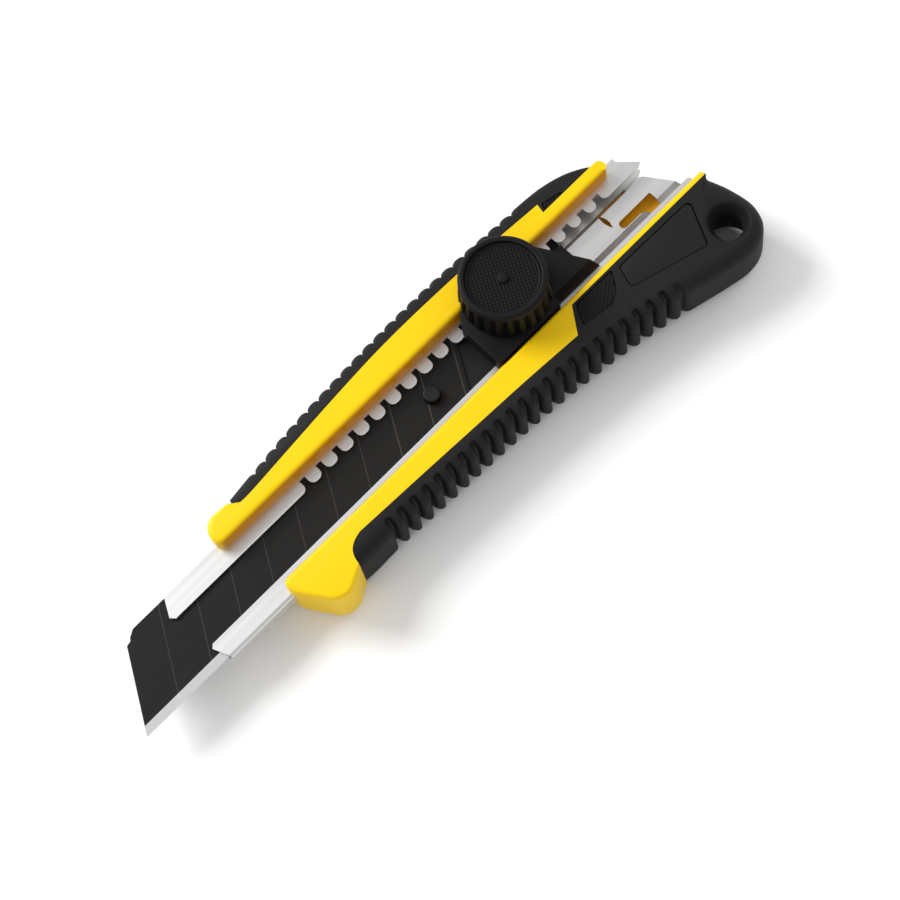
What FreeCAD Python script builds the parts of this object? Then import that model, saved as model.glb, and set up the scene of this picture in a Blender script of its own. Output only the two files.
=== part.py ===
import FreeCAD, Part
import math
import os
from FreeCAD import Vector

# A heavy-duty snap-off knife lying on its back, knob up.
# Design point: the axis of the blade pin, at the height of the blade's upper face.
# +X runs forward to the blade tip, +Y to the cutting edge and +Z up through the knob.

doc = FreeCAD.newDocument("snap_off_knife")
sizes = doc.addObject("Spreadsheet::Sheet", "sizes")

DIMENSIONS = {
    # blade: 25 mm heavy-duty format
    "blade_width": 25.0,
    "blade_thick": 0.7,
    "blade_tip": 121.8,
    "blade_length": 126.6,
    "segment_pitch": 12.5,
    "segment_count": 8,
    "segment_angle": 59.4,
    "bevel_width": 2.6,
    "score_depth": 0.12,
    "score_width": 0.35,
    # blade pin and carrier
    "pin_radius": 2.5,
    "pin_height": 2.2,
    "pin_shank": 1.5,
    "pin_clear": 0.05,
    "carrier_thick": 1.4,
    "carrier_reach": 5.5,
    # folded stainless rail
    "sheet_thick": 0.8,
    "rail_width": 27.0,
    "rail_depth": 6.0,
    "rail_tip_depth": 3.2,
    "rail_clear": 0.1,
    "rail_bend": 1.0,
    "taper_start": 66.0,
    "spine_lip_tip": 95.0,
    "edge_lip_tip": 92.8,
    "spine_lip_edge": 5.6,
    "edge_lip_edge": 7.0,
    "crown_half": 4.0,
    "crown_gap": 1.7,
    "tooth_pitch": 6.27,
    "tooth_depth": 3.5,
    "notch_root": 2.0,
    "tooth_tip": 1.75,
    "rear_notch_root": 2.5,
    "rear_tooth_depth": 3.0,
    # handle
    "handle_top": 6.5,
    "handle_bottom": 13.0,
    "core_bottom": 8.0,
    "channel_half": 9.9,
    "slot_clear": 0.05,
    "shell_half": 9.8,
    "grip_round": 4.0,
    "nose_round": 4.0,
    "nose_tip": 6.0,
    "rib_pitch": 4.5,
    "rib_count": 24,
    "rib_gap": 1.9,
    "rib_depth": 2.4,
    "inlay_thick": 1.2,
    # hang hole
    "hang_x": -92.5,
    "hang_y": 26.5,
    "hang_radius": 4.1,
    "hang_funnel": 6.0,
    "hang_funnel_depth": 4.5,
    # slider and clamp
    "deck_top": 7.0,
    "deck_half": 9.5,
    "deck_base": 1.1,
    "shoe_half": 12.3,
    "shoe_gap": 0.1,
    "shoe_depth": 2.1,
    "clamp_thick": 1.4,
    "clamp_gap": 0.05,
    "stud_radius": 3.0,
    "stud_clear": 0.05,
    # knob
    "knob_x": -34.3,
    "knob_y": -4.1,
    "knob_radius": 12.6,
    "knob_top": 19.0,
    "knob_lift": 0.25,
    "knob_rim": 2.2,
    "knob_recess": 1.0,
    "knob_flutes": 24,
    "washer_thick": 0.6,
    "washer_radius": 4.8,
    "fastener_radius": 1.5,
}

for row, (name, number) in enumerate(DIMENSIONS.items(), start=1):
    sizes.set(f"A{row}", name)
    sizes.set(f"B{row}", str(number))
    sizes.setAlias(f"B{row}", name)
doc.recompute()


def value(name):
    """A driving dimension, read back from the sheet."""
    return float(sizes.get(name))


# ---------------------------------------------------------------- drawing helpers

class Path:
    """A closed outline of lines, three-point arcs and smooth curves."""

    def __init__(self, x, y):
        self.start = Vector(x, y, 0)
        self.here = self.start
        self.parts = []

    def line(self, x, y):
        end = Vector(x, y, 0)
        self.parts.append(Part.LineSegment(self.here, end))
        self.here = end
        return self

    def arc(self, middle, end):
        end = Vector(*end, 0)
        self.parts.append(Part.Arc(self.here, Vector(*middle, 0), end))
        self.here = end
        return self

    def curve(self, *points):
        knots = [self.here] + [Vector(*point, 0) for point in points]
        spline = Part.BSplineCurve()
        spline.interpolate(knots)
        self.parts.append(spline)
        self.here = knots[-1]
        return self

    def turn(self, corner, radius, towards):
        """Straight to a corner that is rounded to radius, leaving in the direction of towards."""
        here = Vector(*corner, 0)
        before = (self.here - here).normalize()
        after = (Vector(*towards, 0) - here).normalize()
        half_angle = before.getAngle(after) / 2
        reach = radius / math.tan(half_angle)
        bisector = (before + after).normalize()
        middle = here + bisector * (radius / math.sin(half_angle) - radius)
        first = here + before * reach
        last = here + after * reach
        self.line(first.x, first.y)
        return self.arc((middle.x, middle.y), (last.x, last.y))

    def close(self):
        if (self.here - self.start).Length > 1e-6:
            self.line(self.start.x, self.start.y)
        return self.parts


def corners(points):
    """A closed polygon; a point (x, y, r) has its corner rounded to r."""
    knots = []
    for index, point in enumerate(points):
        here = Vector(point[0], point[1], 0)
        if len(point) == 2:
            knots.append((here, here, here))
            continue
        before = Vector(*points[index - 1][:2], 0) - here
        after = Vector(*points[(index + 1) % len(points)][:2], 0) - here
        half = before.getAngle(after) / 2
        reach = point[2] / math.tan(half)
        before.normalize()
        after.normalize()
        bisector = (before + after).normalize()
        centre = here + bisector * (point[2] / math.sin(half))
        knots.append((here + before * reach, centre - bisector * point[2], here + after * reach))
    parts = []
    for index, (first, middle, last) in enumerate(knots):
        if (last - first).Length > 1e-6:
            parts.append(Part.Arc(first, middle, last))
        following = knots[(index + 1) % len(knots)][0]
        if (following - last).Length > 1e-6:
            parts.append(Part.LineSegment(last, following))
    return parts


def new_body(label):
    body = doc.addObject("PartDesign::Body", label)
    body.Label = label
    return body


def new_sketch(body, name, role, offset, parts):
    """A sketch on one of the body's own origin planes, at a bound distance from it."""
    sketch = body.newObject("Sketcher::SketchObject", f"{body.Label}_{name}")
    plane = next(item for item in body.Origin.OriginFeatures if item.Role == role)
    sketch.AttachmentSupport = (plane, "")
    sketch.MapMode = "FlatFace"
    sketch.setExpression("AttachmentOffset.Base.z", offset)
    sketch.addGeometry(parts, False)
    return sketch


def pad(body, name, parts, bottom, height, role="XY_Plane"):
    """Solid from an outline, from the bound level bottom through the bound height."""
    feature = body.newObject("PartDesign::Pad", f"{body.Label}_{name}_pad")
    feature.Profile = new_sketch(body, name, role, bottom, parts)
    feature.setExpression("Length", height)
    doc.recompute()
    return feature


def cut(body, name, parts, top, depth, role="XY_Plane"):
    """Removes an outline downwards (against the plane's normal) from the bound level top."""
    before = body.Shape.Volume
    feature = body.newObject("PartDesign::Pocket", f"{body.Label}_{name}_pocket")
    feature.Profile = new_sketch(body, name, role, top, parts)
    feature.setExpression("Length", depth)
    doc.recompute()
    if body.Shape.Volume > before - 1e-3:
        raise RuntimeError(f"{body.Label}: the cut {name} removes nothing")
    return feature


def spin(body, name, parts, kind="PartDesign::Revolution"):
    """A turned solid, or a turned cut, of an outline in the XZ plane about the Z axis."""
    feature = body.newObject(kind, f"{body.Label}_{name}_turned")
    sketch = new_sketch(body, name, "XZ_Plane", "0", parts)
    feature.Profile = sketch
    feature.ReferenceAxis = (sketch, ["V_Axis"])
    feature.Angle = 360
    doc.recompute()
    return feature


def round_edges(body, name, radius, chosen):
    """Fillet of every edge for which chosen(edge's box, edge) holds."""
    last = body.Tip
    names = [f"Edge{number}" for number, edge in enumerate(last.Shape.Edges, start=1)
             if chosen(edge.BoundBox, edge)]
    if not names:
        raise RuntimeError(f"{body.Label}: no edge to round for {name}")
    fillet = body.newObject("PartDesign::Fillet", f"{body.Label}_{name}_round")
    fillet.Base = (last, names)
    fillet.Refine = False
    fillet.setExpression("Radius", radius)
    doc.recompute()
    if "Invalid" in fillet.State:
        raise RuntimeError(f"{body.Label}: the rounding {name} fails")
    return fillet


def bevel_edges(body, name, size, chosen):
    """Chamfer of every edge for which chosen(edge's box, edge) holds."""
    last = body.Tip
    names = [f"Edge{number}" for number, edge in enumerate(last.Shape.Edges, start=1)
             if chosen(edge.BoundBox, edge)]
    chamfer = body.newObject("PartDesign::Chamfer", f"{body.Label}_{name}_bevel")
    chamfer.Base = (last, names)
    chamfer.setExpression("Size", size)
    doc.recompute()
    if not names or "Invalid" in chamfer.State:
        raise RuntimeError(f"{body.Label}: the bevel {name} fails")
    return chamfer


def flat_at(box, level, slack=0.01):
    return abs(box.ZMin - level) < slack and abs(box.ZMax - level) < slack


def circle(x, y, radius):
    return [Part.Circle(Vector(x, y, 0), Vector(0, 0, 1), radius)]


def box_outline(x1, y1, x2, y2):
    return corners([(x1, y1), (x2, y1), (x2, y2), (x1, y2)])


# ---------------------------------------------------------------- blade

# One charcoal strip, 0.7 mm thick, with a ground edge, eight segments and a pin hole.
# The front end is where the last segment was broken off, with a small bite at the spine.
half = value("blade_width") / 2
slope = 1 / math.tan(math.radians(value("segment_angle")))
tip = value("blade_tip")
thick = value("blade_thick")
land = half - value("bevel_width")
edge_flat = 0.03

blade = new_body("blade")
section = corners([(-half, -thick), (land, -thick), (half, -thick / 2 - edge_flat),
                   (half, -thick / 2 + edge_flat), (land, 0), (-half, 0)])
pad(blade, "section", section, f"{tip} - sizes.blade_length - 20",
    "sizes.blade_length + 20", "YZ_Plane")
bite = 2.4
front = Path(tip, half).line(tip - slope * (2 * half - bite), bite - half)
front.line(front.here.x - 1.6, front.here.y - 0.3).line(front.here.x - 0.6, front.here.y - 0.8)
front.line(tip - slope * 2 * half - 3.0, -half).line(tip - slope * 2 * half - 3.0, -half - 5)
front.line(tip + 5, -half - 5).line(tip + 5, half + 5).line(tip, half + 5)
cut(blade, "front_end", front.close(), "1", "3")
rear = tip - value("blade_length")
rear_outline = corners([(rear + slope, half + 1), (rear - slope * (2 * half + 1), -half - 1),
                        (rear - 40, -half - 1), (rear - 40, half + 1)])
cut(blade, "rear_end", rear_outline, "1", "3")
cut(blade, "pin_hole", circle(0, 0, value("pin_radius") + value("pin_clear")), "1", "3")
scores = []
for number in range(1, int(value("segment_count"))):
    at = tip - number * value("segment_pitch")
    wide = value("score_width") / 2
    scores += corners([(at - wide + slope, half + 1), (at - wide - slope * (2 * half + 1), -half - 1),
                       (at + wide - slope * (2 * half + 1), -half - 1), (at + wide + slope, half + 1)])
cut(blade, "scores", scores, "0", "sizes.score_depth")

# ---------------------------------------------------------------- blade carrier

# Pressed steel plate under the blade; it holds the pin and is riveted to the slider.
carrier_top = "-sizes.blade_thick - 0.02"
carrier_low = value("blade_thick") + 0.02 + value("carrier_thick")
shoe = value("shoe_half")
reach = value("carrier_reach")
carrier_rear = -23.0
rivet_x = -20.6
rivet_spread = 3.9

blade_carrier = new_body("blade_carrier")
plan = corners([(carrier_rear, -shoe), (reach - 9, -shoe), (reach, -6, 2), (reach, 6, 2),
                (reach - 9, shoe), (carrier_rear, shoe)])
pad(blade_carrier, "plate", plan, f"-{carrier_low}", "sizes.carrier_thick")
cut(blade_carrier, "pin_hole", circle(0, 0, value("pin_shank")), "0", "5")
carrier_holes = [part for side in (-1, 1)
                 for part in circle(rivet_x, side * rivet_spread, value("fastener_radius"))]
cut(blade_carrier, "rivet_holes", carrier_holes, "0", "5")

# The pin that the blade hooks over, with a shank pressed into the carrier.
pin_radius = value("pin_radius")
pin_top = value("pin_height")
shank = value("pin_shank")
pin_seat = -thick - 0.02
blade_pin = new_body("blade_pin")
profile = corners([(0, -carrier_low), (shank, -carrier_low), (shank, pin_seat), (pin_radius, pin_seat),
                   (pin_radius, pin_top, 0.5), (0, pin_top)])
spin(blade_pin, "profile", profile)

# ---------------------------------------------------------------- rail

# One stainless strip folded into a shallow channel. Both lips lie over the blade; the one
# over the spine is notched, the floor has a raised crown that carries the blade carrier.
sheet = value("sheet_thick")
lip_low = value("rail_clear")
lip_top = lip_low + sheet
outer = value("rail_width") / 2
spine_lip = value("spine_lip_edge")
edge_lip = value("edge_lip_edge")
rail_rear = -98.0


def rail_section(floor, crown):
    """Closed section (y, z) of the channel; floor and crown are the upper faces of each."""
    bend = value("rail_bend")
    inner_bend = bend - 0.7
    foot = value("crown_half") + 1.6
    top = value("crown_half")
    return corners([
        (-spine_lip, lip_low), (-outer + sheet, lip_low, inner_bend),
        (-outer + sheet, floor, inner_bend), (-foot, floor), (-top, crown), (top, crown), (foot, floor),
        (outer - sheet, floor, inner_bend), (outer - sheet, lip_low, inner_bend),
        (edge_lip, lip_low), (edge_lip, lip_top), (outer, lip_top, bend),
        (outer, floor - sheet, bend), (foot - 0.3, floor - sheet), (top - 0.3, crown - sheet),
        (0.3 - top, crown - sheet), (0.3 - foot, floor - sheet), (-outer, floor - sheet, bend),
        (-outer, lip_top, bend), (-spine_lip, lip_top)])


main_floor = lip_top - value("rail_depth") + sheet
main_crown = -thick - value("crown_gap")
tip_floor = lip_top - value("rail_tip_depth") + sheet
tip_crown = tip_floor + 0.25
rail_end = value("spine_lip_tip") + 3

rail = new_body("rail")
pad(rail, "channel", rail_section(main_floor, main_crown), f"{rail_rear}",
    f"sizes.taper_start - ({rail_rear})", "YZ_Plane")
loft = rail.newObject("PartDesign::AdditiveLoft", "rail_taper")
loft.Profile = new_sketch(rail, "taper_rear", "YZ_Plane", "sizes.taper_start",
                          rail_section(main_floor, main_crown))
loft.Sections = [new_sketch(rail, "taper_front", "YZ_Plane", f"{rail_end}",
                            rail_section(tip_floor, tip_crown))]
loft.Ruled = True
doc.recompute()
# both lips and the floor between them are cut back at the front
tips = Path(value("edge_lip_tip") - 2.3, outer + 2).line(value("edge_lip_tip") - 2.3, outer)
tips.line(value("edge_lip_tip"), edge_lip + 1).line(value("edge_lip_tip") - 1, edge_lip)
tips.line(value("spine_lip_tip") - 1.2, -spine_lip).line(value("spine_lip_tip"), -spine_lip - 1.4)
tips.line(value("spine_lip_tip") - 3.6, -outer).line(value("spine_lip_tip") - 3.6, -outer - 2)
tips.line(rail_end + 2, -outer - 2).line(rail_end + 2, outer + 2)
cut(rail, "front_end", tips.close(), "3", "12")
stern = corners([(-86.4, -outer - 2), (-86.4, -outer + 2.0), (-91.2, -6.4), (-88.6, -5.0),
                 (-97.2, edge_lip + 1), (-96.4, outer + 2), (rail_rear - 2, outer + 2),
                 (rail_rear - 2, -outer - 2)])
cut(rail, "rear_end", stern, "3", "12")


def notch(centre, root, depth):
    """Gap between two teeth of the lip: a square root, then the rounded tips of both teeth."""
    deep = -spine_lip - depth
    tip = value("tooth_tip")
    slant = tip * (1 - math.cos(math.radians(45)))
    path = Path(centre - root, deep).line(centre + root, deep).line(centre + root, -spine_lip - tip)
    path.arc((centre + root + slant, -spine_lip - slant), (centre + root + tip, -spine_lip))
    path.line(centre + root + tip, -spine_lip + 1).line(centre - root - tip, -spine_lip + 1)
    path.line(centre - root - tip, -spine_lip)
    path.arc((centre - root - slant, -spine_lip - slant), (centre - root, -spine_lip - tip))
    return path.close()


front_notches = [42.2 - number * value("tooth_pitch") for number in range(15)]
rear_notches = [-74.4 + number * value("tooth_pitch") for number in range(4)]
notches = [part for centre in front_notches
           for part in notch(centre, value("notch_root") / 2, value("tooth_depth"))]
notches += [part for centre in rear_notches
            for part in notch(centre, value("rear_notch_root") / 2, value("rear_tooth_depth"))]
cut(rail, "notches", notches, "3", "3")
# rear plate: the crown ends at a slit, a long slit frees one side, a hooked window holds the frame's clip
slit = Path(-71.5, -4.6).arc((-72.6, -1.8), (-71.9, 1.0)).arc((-71.2, -1.9), (-71.5, -4.6))
cut(rail, "crown_slit", slit.close(), "-1", "8")
cut(rail, "long_slit", corners([(-83.0, -5.4), (-71.3, -5.4), (-71.3, -4.3), (-83.0, -4.3)]), "-1", "8")
window = Path(-75.0, 1.1).arc((-73.6, 2.45), (-75.0, 3.8)).line(-80.0, 3.8).arc((-83.0, 5.1), (-84.2, 8.4))
window.line(-87.0, 8.4).line(-87.0, 1.1)
cut(rail, "hook_window", window.close(), "-1", "8")
rail_rivet_places = [(50, 9), (50, -9), (8, 9), (8, -9)]
rivet_holes = [part for x, y in rail_rivet_places for part in circle(x, y, value("fastener_radius"))]
cut(rail, "rivet_holes", rivet_holes, "-2", "8")

# ---------------------------------------------------------------- handle frame

# Hard yellow moulding round the rail: two side walls, two noses and a floor below the rail.
SPINE_SEAM = [(40, -16.0), (20, -17.6), (0, -18.7), (-20, -18.7), (-40, -18.0), (-60, -16.7)]
EDGE_SEAM = [(0, 17.2), (-20, 18.1), (-39, 19.3)]
SPINE_NOSE_REAR = (62.6, -17.6)
EDGE_NOSE_REAR = (49.2, 21.9)
SEAM_HOLLOW = (60.0, -15.4)
SEAM_START = (42.6, 15.4)
SEAM_BELLY = (47.27, 17.33)
channel = value("channel_half")
top = value("handle_top")
nose_low = -12.4

SPINE_NOSE_FRONT = (71.8, -10.0)
EDGE_NOSE_FRONT = (67.2, 10.0)


def edge_nose_outside(path):
    """The blunt triangular nose ahead of the grip on the edge side, from the grip to the front."""
    shoulder = (66.4, 14.6)
    path.turn((58.4, 28.0), value("nose_tip"), shoulder).turn(shoulder, value("nose_tip"), EDGE_NOSE_FRONT)
    path.line(*EDGE_NOSE_FRONT)


def spine_nose_outside(path):
    """The round nose on the spine side, from the front back to the grip."""
    path.turn((72.0, -18.5), value("nose_tip"), SPINE_NOSE_REAR).line(*SPINE_NOSE_REAR)


handle_frame = new_body("handle_frame")
core = Path(-98.6, 11.7).line(-44.5, 11.7).line(-39, 19.3)
core.curve(EDGE_SEAM[1], EDGE_SEAM[0], SEAM_START)
core.arc(SEAM_BELLY, EDGE_NOSE_REAR)
edge_nose_outside(core)
core.line(60.0, EDGE_NOSE_FRONT[1]).line(64.0, SPINE_NOSE_FRONT[1]).line(*SPINE_NOSE_FRONT)
spine_nose_outside(core)
core.curve(SEAM_HOLLOW, (57, -14.7)).curve(*SPINE_SEAM)
core.line(-59.4, -13.8).line(-80.4, -13.8).arc((-81.8, -13.2), (-82.3, -11.8)).line(-98.6, 10.0)
pad(handle_frame, "core", core.close(), "-sizes.core_bottom", "sizes.core_bottom + sizes.handle_top")

edge_nose = Path(*EDGE_NOSE_FRONT).line(SEAM_START[0], EDGE_NOSE_FRONT[1]).line(*SEAM_START)
edge_nose.arc(SEAM_BELLY, EDGE_NOSE_REAR)
edge_nose_outside(edge_nose)
pad(handle_frame, "edge_nose", edge_nose.close(), f"{nose_low}", f"-sizes.core_bottom - ({nose_low})")
spine_nose = Path(*SPINE_NOSE_FRONT)
spine_nose_outside(spine_nose)
spine_nose.line(60.8, -10.0)
pad(handle_frame, "spine_nose", spine_nose.close(), f"{nose_low}",
    f"-sizes.core_bottom - ({nose_low})")
for name, level, radius in (("lower", nose_low, "sizes.nose_round"), ("upper", top, "sizes.nose_round / 2")):
    bevel_edges(handle_frame, f"edge_nose_{name}", radius,
                lambda box, edge: flat_at(box, level) and box.YMin > 9.9 and box.YMax > 10.1 and box.XMax > 50.5)
    bevel_edges(handle_frame, f"spine_nose_{name}", "sizes.nose_round / 4",
                lambda box, edge: flat_at(box, level) and box.XMin > 62 and box.YMin < -10.5 and box.YMax < -9.9)
# the channel between the walls, and the slot that the rail slides into
cut(handle_frame, "channel", box_outline(-110, -channel, 80, channel), "sizes.handle_top + 1",
    f"sizes.handle_top + 1 - {lip_top}")
slot = outer + value("slot_clear")
slot_low = lip_top - value("rail_depth") - value("slot_clear")
slot_top = lip_top + value("slot_clear")
cut(handle_frame, "rail_slot", box_outline(-110, -slot, 80, slot), f"{slot_top}", f"{slot_top - slot_low}")
round_edges(handle_frame, "channel", "0.8",
            lambda box, edge: flat_at(box, top) and abs(abs(box.YMin) - channel) < 0.01 and edge.Length > 50)
# a window in the floor under each screw boss, and holes for the rail rivets
boss_places = [(56, -3), (0, 0), (-52, 0)]
holes = [part for x, y in rail_rivet_places for part in circle(x, y, value("fastener_radius"))]
cut(handle_frame, "rivet_holes", holes, "-5", "5")
holes = [part for x, y in boss_places for part in circle(x, y, value("fastener_radius"))]
cut(handle_frame, "screw_holes", holes, f"{slot_low - 1}", "5")

# Rivets that hold the rail down on the floor of the frame: one node, four separate solids.
rivet_radius = value("fastener_radius")
rivets = []
for number, (x, y) in enumerate(rail_rivet_places):
    shank_piece = doc.addObject("Part::Cylinder", f"rail_rivet_shank_{number}")
    shank_piece.setExpression("Radius", "sizes.fastener_radius")
    shank_piece.Height = 3.6
    shank_piece.Placement.Base = Vector(x, y, main_floor - 3.6)
    head_piece = doc.addObject("Part::Cylinder", f"rail_rivet_head_{number}")
    head_piece.setExpression("Radius", "sizes.fastener_radius * 1.8")
    head_piece.Height = 0.6
    head_piece.Placement.Base = Vector(x, y, main_floor)
    rivet = doc.addObject("Part::Fuse", f"rail_rivet_{number}")
    rivet.Base = head_piece
    rivet.Tool = shank_piece
    rivets.append(rivet)
rail_rivets = doc.addObject("Part::Compound", "rail_rivets")
rail_rivets.Links = rivets
doc.recompute()

# ---------------------------------------------------------------- bottom shell and its screws

shell = value("shell_half")
core_low = value("core_bottom")
bottom = value("handle_bottom")
bottom_shell = new_body("bottom_shell")
shell_plan = corners([(64.0, -shell, 2), (62.0, shell, 2), (-95.0, shell, 2), (-81.0, -shell, 2)])
pad(bottom_shell, "plate", shell_plan, "-sizes.handle_bottom", "sizes.handle_bottom - sizes.core_bottom")
holes = [part for x, y in boss_places for part in circle(x, y, rivet_radius)]
cut(bottom_shell, "screw_holes", holes, "-5", "10")
heads = [part for x, y in boss_places for part in circle(x, y, 3.0)]
cut(bottom_shell, "screw_heads", heads, "-sizes.handle_bottom + 1.8", "4")

screws = []
for number, (x, y) in enumerate(boss_places):
    head_piece = doc.addObject("Part::Cylinder", f"screw_head_{number}")
    head_piece.setExpression("Radius", "sizes.fastener_radius * 1.9")
    head_piece.Height = 1.5
    head_piece.Placement.Base = Vector(x, y, 0.3 - bottom)
    shank_piece = doc.addObject("Part::Cylinder", f"screw_shank_{number}")
    shank_piece.setExpression("Radius", "sizes.fastener_radius")
    shank_piece.Height = 5.0
    shank_piece.Placement.Base = Vector(x, y, 1.8 - bottom)
    cross = doc.addObject("Part::Box", f"screw_slot_{number}")
    cross.Length, cross.Width, cross.Height = 4.0, 0.8, 0.8
    cross.Placement.Base = Vector(x - 2.0, y - 0.4, 0.25 - bottom)
    screw = doc.addObject("Part::Fuse", f"screw_blank_{number}")
    screw.Base = head_piece
    screw.Tool = shank_piece
    slotted = doc.addObject("Part::Cut", f"shell_screw_{number}")
    slotted.Base = screw
    slotted.Tool = cross
    screws.append(slotted)
shell_screws = doc.addObject("Part::Compound", "shell_screws")
shell_screws.Links = screws
doc.recompute()

# ---------------------------------------------------------------- soft grips

# Black elastomer over both sides of the frame, ribbed along the outside. The one on the
# edge side runs on into the tail with the hang hole.
GRIP_EDGE_OUTER = [(37, 22.0), (20, 22.9), (0, 23.8), (-20, 25.0), (-40, 27.1), (-50, 28.6), (-60, 30.4),
                   (-70, 32.6), (-80, 35.1)]
GRIP_SPINE_OUTER = [(-60, -20.8), (-50, -21.4), (-40, -22.0), (-20, -22.8), (0, -22.7), (20, -21.8),
                    (36, -20.8), (52, -18.9), SPINE_NOSE_REAR]


def along(points, x):
    """The y of a polyline at x, for placing ribs along an edge."""
    ordered = sorted(points)
    for (x1, y1), (x2, y2) in zip(ordered, ordered[1:]):
        if x1 <= x <= x2:
            return y1 + (y2 - y1) * (x - x1) / (x2 - x1)
    raise ValueError(f"{x} lies outside the edge")


grip_edge_side = new_body("grip_edge_side")
plan = Path(*EDGE_NOSE_REAR).arc(SEAM_BELLY, SEAM_START)
plan.curve(*(EDGE_SEAM[0], EDGE_SEAM[1], EDGE_SEAM[2])).line(-44.5, 11.7).line(-99.6, 11.7)
plan.curve((-101.0, 19.0), (-101.9, 27.0), (-99.8, 33.0), (-95.4, 36.2), (-90.0, 37.0), (-85.0, 36.2),
           *reversed(GRIP_EDGE_OUTER), EDGE_NOSE_REAR)
pad(grip_edge_side, "side", plan.close(), "-sizes.handle_bottom", "sizes.handle_bottom + sizes.handle_top")
for name, level in (("upper", top), ("lower", -bottom)):
    round_edges(grip_edge_side, name, "sizes.grip_round",
                lambda box, edge: flat_at(box, level) and edge.Length > 100 and box.YMax > 25)
# the lower lip that wraps in under the frame as far as the bottom shell
wrap = Path(42.0, shell + 0.1).line(SEAM_START[0] - 0.6, SEAM_START[1] + 0.5).curve((0, 18.0), (-39, 20.3))
wrap.line(-46.0, 20.3).line(-94.6, 20.3).line(-94.6, shell + 0.1)
pad(grip_edge_side, "wrap", wrap.close(), "-sizes.handle_bottom",
    "sizes.handle_bottom - sizes.core_bottom - 0.05")
# hang hole: a straight bore with a funnel above it
cut(grip_edge_side, "hang_hole", circle(value("hang_x"), value("hang_y"), value("hang_radius")),
    "sizes.handle_top + 1", "30")
funnel = grip_edge_side.newObject("PartDesign::SubtractiveCone", "hang_funnel")
funnel.MapMode = "Deactivated"
funnel.setExpression("Radius1", "sizes.hang_radius")
funnel.setExpression("Radius2", "sizes.hang_funnel")
funnel.setExpression("Height", "sizes.hang_funnel_depth")
funnel.Placement.Base = Vector(value("hang_x"), value("hang_y"), top - value("hang_funnel_depth"))
doc.recompute()
cut(grip_edge_side, "rail_slot", box_outline(-110, 0, -40, slot), f"{slot_top}", f"{slot_top - slot_low}")
first_rib = 35.0
gaps = []
for number in range(int(value("rib_count"))):
    x = first_rib - number * value("rib_pitch")
    y = along(GRIP_EDGE_OUTER, x)
    gaps += box_outline(x - value("rib_gap") / 2, y - value("rib_depth"), x + value("rib_gap") / 2, y + 4)
cut(grip_edge_side, "rib_gaps", gaps, "sizes.handle_top - 1.6", "sizes.handle_bottom + sizes.handle_top - 5")
EDGE_PAD = [(-45.3, 12.4), (-42.0, 18.6), (-52.5, 19.9, 1.5), (-56.4, 17.6, 2.0), (-59.8, 12.4)]
NAME_PANEL = [(-61.6, 13.3, 1.0), (-90.2, 13.8, 1.5), (-83.4, 27.4, 1.0), (-59.4, 20.4, 1.5)]
cut(grip_edge_side, "pad_pocket", corners(EDGE_PAD), "sizes.handle_top", "sizes.inlay_thick")
cut(grip_edge_side, "name_pocket", corners(NAME_PANEL), "sizes.handle_top", "sizes.inlay_thick")

grip_spine_side = new_body("grip_spine_side")
plan = Path(*SPINE_NOSE_REAR).curve(SEAM_HOLLOW, (57, -14.7)).curve(*SPINE_SEAM)
plan.line(-59.4, -13.8).line(-79.6, -13.8)
plan.curve((-77.0, -15.8), (-72.0, -18.3), (-66.0, -20.0), *GRIP_SPINE_OUTER)
pad(grip_spine_side, "side", plan.close(), "-sizes.handle_bottom", "sizes.handle_bottom + sizes.handle_top")
for name, level in (("upper", top), ("lower", -bottom)):
    round_edges(grip_spine_side, name, "sizes.grip_round / 2", lambda box, edge: flat_at(box, level)
                and edge.Length > 100 and box.YMin < -20)
wrap = Path(60.2, -shell - 0.1).line(60.2, -16.0).curve((40, -17.0), (0, -19.6), (-40, -18.9), (-60, -17.4))
wrap.line(-78.5, -14.2).line(-79.0, -shell - 0.1)
pad(grip_spine_side, "wrap", wrap.close(), "-sizes.handle_bottom",
    "sizes.handle_bottom - sizes.core_bottom - 0.05")
first_valley = 50.6
gaps = []
for number in range(int(value("rib_count"))):
    x = first_valley - number * value("rib_pitch")
    y = along(GRIP_SPINE_OUTER, x)
    gaps += corners([(x - 0.9, y - 1), (x + 0.9, y - 1), (x + 0.4, y + 1.2), (x - 0.4, y + 1.2)])
cut(grip_spine_side, "rib_gaps", gaps, "sizes.handle_top + 1", "sizes.handle_bottom + sizes.handle_top - 2")
SPINE_PAD = [(-61.0, -16.2, 0.6), (-60.2, -14.1, 0.4), (-69.6, -14.1)]
cut(grip_spine_side, "pad_pocket", corners(SPINE_PAD), "sizes.handle_top", "sizes.inlay_thick")

# Firm inlays set into the grips: two knurled thumb pads and a blank name panel.
INLAYS = {"thumb_pad_edge": EDGE_PAD, "thumb_pad_spine": SPINE_PAD, "name_panel": NAME_PANEL}
for label, outline in INLAYS.items():
    inlay = new_body(label)
    pad(inlay, "plate", corners(outline), "sizes.handle_top - sizes.inlay_thick", "sizes.inlay_thick - 0.1")

# ---------------------------------------------------------------- slider

# Black moulding that runs over both lips; its web drops between them and its shoes hold it
# under them. The raised rear end is what the thumb pulls back on.
deck_top = value("deck_top")
deck_base = value("deck_base")
deck_half = value("deck_half")
deck_front = -18.2
deck_rear = -43.0
knob_x = value("knob_x")
knob_y = value("knob_y")
stud_hole = value("stud_radius") + value("stud_clear")
washer_hole = value("stud_radius") + 0.3

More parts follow.
